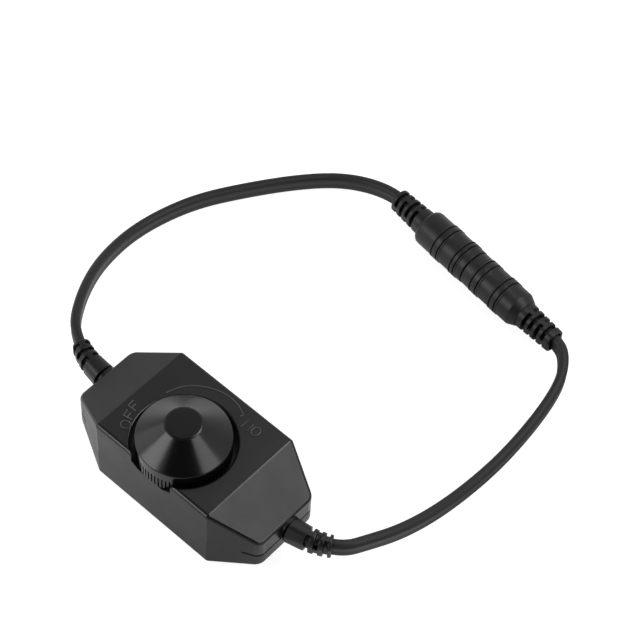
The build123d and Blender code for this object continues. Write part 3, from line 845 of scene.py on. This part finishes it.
def make_screws():
    """Four pan-head screws seen from below, made head down about the origin."""
    head_edge, seat_edge = screw_head_edges
    point = screw_head_height + screw_length
    corners = [
        (0.0, 0.0, 0), (0.0, screw_head_radius, head_edge),
        (screw_head_height, screw_head_radius, seat_edge), (screw_head_height, screw_radius, 0),
        (point - screw_point_length, screw_radius, 0), (point, screw_radius * screw_point_share, 0),
        (point, 0.0, 0),
    ]
    turned, faces = lathe(soft_profile(corners), screw_segments)
    piece = new_piece("case_screw_set", moved(turned, stand_up), faces, "screw_steel", screw_sharp_angle)
    apply_tree(piece, screw_tree(), {
        "Spacing X": 2 * screw_place[0] * MM,
        "Spacing Y": 2 * screw_place[1] * MM,
        "Recess": tuple(size * MM for size in recess_size),
        "Seat": (0.0, 0.0, (screw_seat_z - screw_head_height) * MM),
        "Material": finishes["screw_steel"],
    })
    finish_mesh(piece, "screw_steel", screw_sharp_angle)
    stand_for(piece, "case_screws", "case")


def oval_outline(size, shares):
    """Points round an oval section, at shares of its length from the middle of its +X side."""
    width, height = size
    radius = tail_rounding * min(size)
    outline = [(width / 2, 0.0)]
    for quarter, (side_x, side_y) in enumerate([(1, 1), (-1, 1), (-1, -1), (1, -1)]):
        centre = (side_x * (width / 2 - radius), side_y * (height / 2 - radius))
        for step in range(arc_steps + 1):
            angle = math.pi / 2 * (quarter + step / arc_steps)
            outline.append((centre[0] + radius * math.cos(angle), centre[1] + radius * math.sin(angle)))
    outline.append((width / 2, 0.0))
    outline = np.array(outline)
    travelled = np.concatenate([[0], np.cumsum(np.linalg.norm(np.diff(outline, axis=0), axis=1))])
    wanted = shares * travelled[-1]
    return np.stack([np.interp(wanted, travelled, side) for side in outline.T], -1)


def ease(value):
    """Smooth step from 0 to 1."""
    value = np.clip(value, 0, 1)
    return value * value * (3 - 2 * value)


def tail_ring(distance, length, base, tip, windows):
    """Section of a windowed tail at a distance along it, in its own plane."""
    share = max(distance, 0) / length
    from_tip = max(distance - (length - tip_edge), 0) / tip_edge
    trim = 2 * tip_edge * (1 - math.sqrt(max(1 - from_tip ** 2, 0)))
    size = tuple(start + (end - start) * share - tip_draw * trim for start, end in zip(base, tip))
    outer = oval_outline(size, tail_shares)
    core = oval_outline(core_size, tail_shares)
    sunk = np.zeros(tail_points)
    for row, middle in enumerate(windows):
        reach = window_length / 2 + window_softness / 2 - abs(distance - middle)
        along = ease(reach / window_softness)
        across = np.abs(outer[:, row % 2]) - window_bridge / 2
        sunk = np.maximum(sunk, along * ease(across / window_softness + 0.5))
    return outer * (1 - sunk[:, None]) + core * sunk[:, None]


def tail_stops(start, length, windows):
    """Distances along a tail: close together at the window edges and the tip."""
    stops = set(np.linspace(start, length - tip_edge, tail_steps).round(4))
    edge_steps = window_softness * np.linspace(-window_edge_reach, window_edge_reach, window_edge_steps)
    for middle in windows:
        for edge in (-window_length / 2, window_length / 2):
            stops.update((middle + edge + edge_steps).round(4))
    stops.update((length - tip_edge + tip_edge * np.sin(np.linspace(0, math.pi / 2, tip_steps))).round(4))
    return sorted(stop for stop in stops if start <= stop <= length)


def placed_ring(ring, place, heading=0.0):
    """Ring of a tail's own plane set at a place, facing along a heading."""
    side = Vector((-math.sin(heading), math.cos(heading), 0))
    return [place + side * x + Vector((0, 0, y)) for x, y in ring]


def relief_station(distance, yaw):
    """Place and heading along a relief's tail, which starts straight and then bends between two yaws."""
    start, end = math.radians(yaw[0]), math.radians(yaw[1])
    straight = min(distance, relief_straight)
    bend = max(distance - relief_straight, 0)
    turn = (end - start) * bend / (relief_length - relief_straight)
    chord = bend if turn == 0 else bend * math.sin(turn / 2) / (turn / 2)
    middle = start + turn / 2
    place = Vector((straight * math.cos(start) + chord * math.cos(middle),
                    straight * math.sin(start) + chord * math.sin(middle), 0))
    return place, start + turn


def relief_exit(standoff, yaw, end):
    """Tip of a relief and the heading of the cord that leaves it."""
    tip, heading = relief_station(relief_length, yaw)
    return (Vector((end * (case_end_x + standoff + tip.x), neck_place[0] + tip.y, relief_z)),
            Vector((end * math.cos(heading), math.sin(heading), 0)))


def make_relief(name, node, standoff, yaw, end):
    """Strain relief: collar and neck in the end wall, then the windowed tail, bent as the cord pulls it."""
    neck_y, neck_z = neck_place
    neck_start = -end_wall - neck_slack
    rings = []
    for size, along in [(collar_size, neck_start - collar_thickness), (collar_size, neck_start),
                        (neck_size, neck_start), (neck_size, 0.0)]:
        rings.append(placed_ring(oval_outline(size, tail_shares), Vector((along, 0, neck_z - relief_z))))
    for stop in tail_stops(0.0, relief_length, relief_windows):
        ring = tail_ring(stop, relief_length, relief_base, relief_tip, relief_windows)
        placed = placed_ring(ring, *relief_station(stop, yaw))
        for point in placed:
            point.x = max(point.x, 0.0)
        rings.append(placed)
    points, faces = skin_rings(rings)
    points = [(end * (x + standoff + case_end_x), y + neck_y, z + relief_z) for x, y, z in points]
    piece = new_piece(name, points, faces, "relief_rubber", soft_sharp_angle)
    stand_for(piece, node, "case")


def grooved_run(places, radius, sign):
    """Corners of thin ring grooves along a body, in order from the seam, each two in a low raised band."""
    corners = []
    foot_radius = radius - band_height
    floor_radius = radius - ring_groove_depth
    half = ring_groove_width / 2
    for first, second in zip(places[::2], places[1::2]):
        start = first - half - band_lip
        end = second + half + band_lip
        corners += [(start - band_height, foot_radius, band_foot_rounding), (start, radius, band_edge)]
        for place in (first, second):
            corners += [
                (place - half, radius, ring_groove_edge), (place - half, floor_radius, 0),
                (place + half, floor_radius, 0), (place + half, radius, ring_groove_edge)]
        corners += [(end, radius, band_edge), (end + band_height, foot_radius, band_foot_rounding)]
    return [(sign * along, level, rounding) for along, level, rounding in corners]


def join_solid(piece, other):
    """Fuse another closed mesh into a piece and delete it."""
    union = piece.modifiers.new("fuse", "BOOLEAN")
    union.operation = "UNION"
    union.solver = "EXACT"
    union.object = other
    apply_modifiers(piece)
    bpy.data.objects.remove(other)


def make_connector(name, node, body, corners, tail_start, tail_length, windows, sign):
    """Connector overmould: turned body with ring grooves, fused with its windowed tail."""
    turned, faces = lathe(soft_profile(corners), connector_segments)
    turned = moved(turned, connector_frame)
    piece = new_piece(name, turned, faces, "connector_rubber", connector_sharp_angle)
    rings = []
    for stop in tail_stops(-tail_root, tail_length, windows):
        ring = tail_ring(stop, tail_length, tail_base, tail_tip, windows)
        rings.append(placed_ring(ring, Vector((tail_start + stop, 0, 0))))
    mouth = oval_outline(mouth_size, tail_shares)
    for stop in (tail_length, tail_length - mouth_depth):
        rings.append(placed_ring(mouth, Vector((tail_start + stop, 0, 0))))
    points, faces = skin_rings(rings)
    points = moved([(sign * x, y, z) for x, y, z in points], connector_frame)
    join_solid(piece, new_piece(name + "_tail", points, faces, "connector_rubber", soft_sharp_angle))
    finish_mesh(piece, "connector_rubber", connector_sharp_angle)
    stand_for(piece, node, body)
    return piece


def make_jack():
    """Female connector, open at the seam for its insert."""
    face = -connector_gap / 2
    body_radius = jack_radius - band_height
    corners = [
        (-jack_insert_depth, 0.0, 0), (-jack_insert_depth, jack_insert_radius, 0),
        (face, jack_insert_radius, jack_insert_edge), (face, body_radius, face_edge),
        *grooved_run(jack_grooves, jack_radius, -1),
        (-jack_length, body_radius, jack_shoulder), (-jack_length, 0.0, 0),
    ]
    return make_connector(
        "jack_overmould", "jack_body", "case", corners, jack_length, jack_tail_length, jack_windows, -1)


def make_plug():
    """Male connector, with the hole that its barrel sits in."""
    face = connector_gap / 2
    cone_end = plug_length + plug_cone
    cone_end_radius = tail_base[0] / 2 + plug_cone_step
    body_radius = plug_radius - band_height
    corners = [
        (plug_hole_depth, 0.0, 0), (plug_hole_depth, plug_hole_radius, 0), (face, plug_hole_radius, 0),
        (face, body_radius, face_edge), *grooved_run(plug_grooves, plug_radius, 1),
        (plug_length, body_radius, plug_cone_rounding), (cone_end, cone_end_radius, plug_cone_rounding),
        (cone_end, 0.0, 0),
    ]
    return make_connector(
        "plug_overmould", "plug_body", "plug", corners, cone_end, plug_tail_length, plug_windows, 1)


def cord_line(points):
    """Points along the smooth line of a cord's route, in metres."""
    curve = bpy.data.curves.new("route", "CURVE")
    curve.dimensions = "3D"
    curve.resolution_u = line_resolution
    spline = curve.splines.new("NURBS")
    spline.points.add(len(points) - 1)
    for slot, point in zip(spline.points, points):
        slot.co = (*(Vector(point) * MM), 1.0)
    spline.order_u = 3
    spline.use_endpoint_u = True
    route = add_object("route", curve)
    mesh = bpy.data.meshes.new_from_object(route)
    line = [vertex.co.copy() for vertex in mesh.vertices]
    bpy.data.objects.remove(route)
    bpy.data.curves.remove(curve)
    bpy.data.meshes.remove(mesh)
    return line


def cord_section():
    """Section of the flat cord, with a shallow waist between its two cores."""
    section = oval_outline((cord_thickness, cord_height), np.arange(cord_points) / cord_points)
    waist = cord_waist * np.exp(-(section[:, 1] / waist_spread) ** 2)
    section[:, 0] -= np.sign(section[:, 0]) * waist
    return section


def make_cord(name, node, points):
    """Flat cord as a tube along its smooth line, with a map that runs along it."""
    line = cord_line(points)
    section = cord_section()
    rings, travelled = [], [0.0]
    for index, place in enumerate(line):
        before, after = line[max(index - 1, 0)], line[min(index + 1, len(line) - 1)]
        ahead = (after - before).normalized()
        side = Vector((0, 0, 1)).cross(ahead).normalized()
        upward = ahead.cross(side)
        rings.append([(place + side * x * MM + upward * y * MM) / MM for x, y in section])
        if index:
            travelled.append(travelled[-1] + (place - line[index - 1]).length)
    points, faces = skin_rings(rings)
    piece = new_piece(name, points, faces, "cord_jacket", soft_sharp_angle)
    layer = piece.data.uv_layers.new(name="along")
    for loop in piece.data.loops:
        row, step = divmod(loop.vertex_index, cord_points)
        layer.data[loop.index].uv = (step / cord_points, travelled[row])
    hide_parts(node)
    return piece, line, travelled[-1]


def raised_line_tree():
    """Low rounded ridge along curves that lie on a flat face."""
    group, entry = geometry_tree("raised_line", {"Width": "Float", "Flatten": "Vector", "Level": "Vector"})
    profile = add_node(group, "GeometryNodeCurvePrimitiveCircle", "Curve", {
        "Resolution": mark_segments, "Radius": combine(group, "MULTIPLY", entry["Width"], 0.5)})
    ridge = add_node(group, "GeometryNodeCurveToMesh", "Mesh", {
        "Curve": entry["Geometry"], "Profile Curve": profile, "Fill Caps": True})
    low_ridge = add_node(group, "GeometryNodeTransform", "Geometry", {
        "Geometry": ridge, "Scale": entry["Flatten"], "Translation": entry["Level"]})
    return close_tree(group, entry, low_ridge)


def ring_points(width, height):
    """Points of an upright ellipse."""
    angles = [2 * math.pi * step / round_letter_points for step in range(round_letter_points)]
    return [(width / 2 * math.cos(angle), height / 2 * math.sin(angle)) for angle in angles]


def letter_strokes(letter):
    """Strokes of a plain letter about its middle, with whether each closes on itself."""
    tall, wide = letter_height / 2, letter_half_width
    if letter == "O":
        return [(ring_points(round_letter_share * wide, 2 * tall), True)]
    if letter == "F":
        bar = bar_height_share * tall
        return [([(-wide, -tall), (-wide, tall), (wide, tall)], False),
                ([(-wide, bar), (bar_reach_share * wide, bar)], False)]
    return [([(-wide, -tall), (-wide, tall), (wide, -tall), (wide, tall)], False)]


def letter_lines(letter, middle, heading):
    """Strokes of a letter set on the deck, reading along a heading in degrees."""
    turn = math.radians(heading)
    lines = []
    for stroke, closed in letter_strokes(letter):
        lines.append(([(middle[0] + x * math.cos(turn) - y * math.sin(turn),
                        middle[1] + x * math.sin(turn) + y * math.cos(turn)) for x, y in stroke], closed))
    return lines


def wedge_line():
    """Edge of the swelling wedge round the dial, from its thin start by OFF to its blunt end by ON."""
    angles, radii = np.array(wedge_outer[::-1], float).T
    sweep = np.linspace(angles[-1], angles[0], wedge_points)
    edge = list(zip(np.interp(sweep, angles, radii), sweep))
    edge.append((wedge_inner_radius, sweep[-1]))
    return [(dial_place[0] + radius * math.cos(math.radians(angle)),
             dial_place[1] + radius * math.sin(math.radians(angle))) for radius, angle in edge]


def make_marks():
    """OFF, ON and the wedge between them, as low ridges on the deck."""
    lines = [(wedge_line(), False)]
    for letter, middle in off_letters:
        outward = math.atan2(middle[1] - dial_place[1], middle[0] - dial_place[0])
        lines += letter_lines(letter, middle, math.degrees(outward) - 90)
    for letter, middle in on_letters:
        lines += letter_lines(letter, middle, on_heading)
    curve = bpy.data.curves.new("marks", "CURVE")
    curve.dimensions = "3D"
    for points, closed in lines:
        spline = curve.splines.new("POLY")
        spline.points.add(len(points) - 1)
        for slot, point in zip(spline.points, points):
            slot.co = (point[0] * MM, point[1] * MM, 0.0, 1.0)
        spline.use_cyclic_u = closed
    source = add_object("marks", curve)
    piece = add_object("deck_marks", tree_mesh(source, raised_line_tree(), {
        "Width": mark_width * MM,
        "Flatten": (1.0, 1.0, 2 * mark_height / mark_width),
        "Level": (0.0, 0.0, deck_z * MM),
        "Material": finishes["raised_marks"],
    }))
    bpy.data.objects.remove(source)
    finish_mesh(piece, "case_plastic", soft_sharp_angle, "raised_marks")
    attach(piece, "case")


def flat_card(name, size, material):
    """Flat rectangle of the studio, about the origin."""
    x, y = size[0] / 2, size[1] / 2
    mesh = bpy.data.meshes.new(name)
    mesh.from_pydata([(-x, -y, 0), (x, -y, 0), (x, y, 0), (-x, y, 0)], [], [(0, 1, 2, 3)])
    mesh.materials.append(material)
    card = add_object(name, mesh)
    return card


def make_floor():
    """Plain floor, white to the camera; in reflections it shows painted light, lighter on the left and by
    the output cord.
    """
    material, tree, shader = node_material("white_floor")
    place = add_node(tree, "ShaderNodeTexCoord", "Object")
    across = add_node(tree, "ShaderNodeSeparateXYZ", "X", {"Vector": place})
    # Painted light that the floor shows in reflections: lighter on the left, falling off to the right
    side = grey_ramp(tree, map_range(tree, across, floor_reach, (0, 1)), painted_floor_levels)
    # Painted pool of light round a point by the output cord
    away = add_node(tree, "ShaderNodeVectorMath", "Value", {0: place, 1: pool_middle}, operation="DISTANCE")
    painted_light_pool = map_range(tree, away, (0, pool_radius), (pool_level, 0), "SMOOTHSTEP")
    rays = tree.nodes.new("ShaderNodeLightPath").outputs
    seen = combine(tree, "MAXIMUM", rays["Is Camera Ray"], rays["Is Transmission Ray"])
    # Glossy rays alone see this painted light
    painted_reflection_light = combine(tree, "MULTIPLY", rays["Is Glossy Ray"], combine(tree, "ADD", side, painted_light_pool))
    fill_inputs(tree, shader, {
        "Base Color": (*grey(floor_grey), 1),
        "Roughness": floor_roughness,
        "Specular IOR Level": 0.0,
        "Emission Color": (*grey(1), 1),
        "Emission Strength": combine(tree, "MULTIPLY_ADD", seen, floor_white, painted_reflection_light),
    })
    flat_card("floor", floor_size, material)


def make_world():
    """Studio walls, pale at the horizon and dark overhead."""
    world = bpy.data.worlds.new("studio")
    world.use_nodes = True
    tree = world.node_tree
    direction = add_node(tree, "ShaderNodeTexCoord", "Generated")
    height = add_node(tree, "ShaderNodeSeparateXYZ", "Z", {"Vector": direction})
    tree.links.new(grey_ramp(tree, height, sky_levels), tree.nodes["Background"].inputs["Color"])
    bpy.context.scene.world = world


def face_case(item, azimuth, elevation, distance):
    """Set a light or card in the studio, by its azimuth from +X towards +Y, so that it faces the case."""
    turn, rise = math.radians(azimuth), math.radians(elevation)
    towards = Vector((math.cos(turn) * math.cos(rise), math.sin(turn) * math.cos(rise), math.sin(rise)))
    item.location = towards * distance
    item.rotation_euler = towards.to_track_quat("Z", "Y").to_euler()


def make_softbox(name, size, radiance, place):
    """Rectangular soft light, given the brightness of its face."""
    lamp = bpy.data.lights.new(name, "AREA")
    lamp.shape = "RECTANGLE"
    lamp.size, lamp.size_y = size
    lamp.energy = radiance * math.pi * size[0] * size[1]
    face_case(add_object(name, lamp), *place)


def make_black_card():
    """Black card that keeps the camera's side of the studio dark."""
    material, tree, shader = node_material("black_card")
    fill_inputs(tree, shader, {
        "Base Color": (*grey(card_grey), 1), "Roughness": 1.0, "Specular IOR Level": 0.0})
    face_case(flat_card("camera_side_card", card_size, material), *card_place)


def make_camera():
    """Camera at the photograph's place."""
    turn, rise, roll = (math.radians(angle) for angle in (camera_azimuth, camera_elevation, camera_roll))
    back = Vector((math.sin(turn) * math.cos(rise), -math.cos(turn) * math.cos(rise), math.sin(rise)))
    level = Vector((math.cos(turn), math.sin(turn), 0))
    upright = back.cross(level)
    right = math.cos(roll) * level + math.sin(roll) * upright
    upward = -math.sin(roll) * level + math.cos(roll) * upright
    lens = bpy.data.cameras.new("camera")
    lens.lens = camera_lens
    lens.sensor_width = camera_sensor
    lens.clip_start = camera_near * MM
    camera = add_object("camera", lens)
    place = (Vector(camera_target) + back * camera_distance) * MM
    camera.matrix_world = Matrix.Translation(place) @ Matrix((right, upward, back)).transposed().to_4x4()
    bpy.context.scene.camera = camera


# Case shells and the connectors' inner pieces, in the form of their solids
make_case_top()
smooth_copy("case_bottom", "case", case_sharp_angle)
plug_pieces = [smooth_copy(node, "plug") for node in ("plug_barrel", "plug_insulator", "plug_tip_contact")]
jack_pieces = [smooth_copy(node, "case") for node in ("jack_pin", "jack_insulator")]
jack_pieces.append(frame["nodes"]["jack_spring"])
for node, piece in frame["nodes"].items():
    piece.data.materials.clear()
    piece.data.materials.append(finishes[node_slots[node]])

# Pieces made here
make_knob()
make_screws()
make_marks()
make_relief("input_strain_relief", "input_relief", input_standoff, input_yaw, -1)
make_relief("output_strain_relief", "output_relief", output_standoff, output_yaw, 1)
jack = make_jack()
plug = make_plug()

# Cords, from the tips of the reliefs to the mouths of the connectors' tails
along_connector = connector_frame.to_3x3() @ Vector((1, 0, 0))
jack_end = connector_frame @ Vector((mouth_depth - jack_length - jack_tail_length, 0, 0))
plug_end = connector_frame @ Vector((plug_length + plug_cone + plug_tail_length - mouth_depth, 0, 0))
input_exit, input_heading = relief_exit(input_standoff, input_yaw, -1)
output_exit, output_heading = relief_exit(output_standoff, output_yaw, 1)
input_points = [input_exit, input_exit + input_heading * cord_lead_run, *input_route,
                jack_end - along_connector * cord_lead_run, jack_end]
output_points = [output_exit, output_exit + output_heading * cord_lead_run, *output_route,
                 plug_end + along_connector * cord_lead_run, plug_end]
input_cord, input_line, input_length = make_cord("input_flat_cord", "input_cord", input_points)
output_cord, output_line, output_length = make_cord("output_flat_cord", "output_cord", output_points)
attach(input_cord, "case")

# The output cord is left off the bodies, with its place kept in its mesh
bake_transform(output_cord)

# Studio and camera
make_floor()
make_world()
for softbox in softboxes:
    make_softbox(*softbox)
make_black_card()
make_camera()
bpy.context.scene.view_settings.view_transform = "Standard"
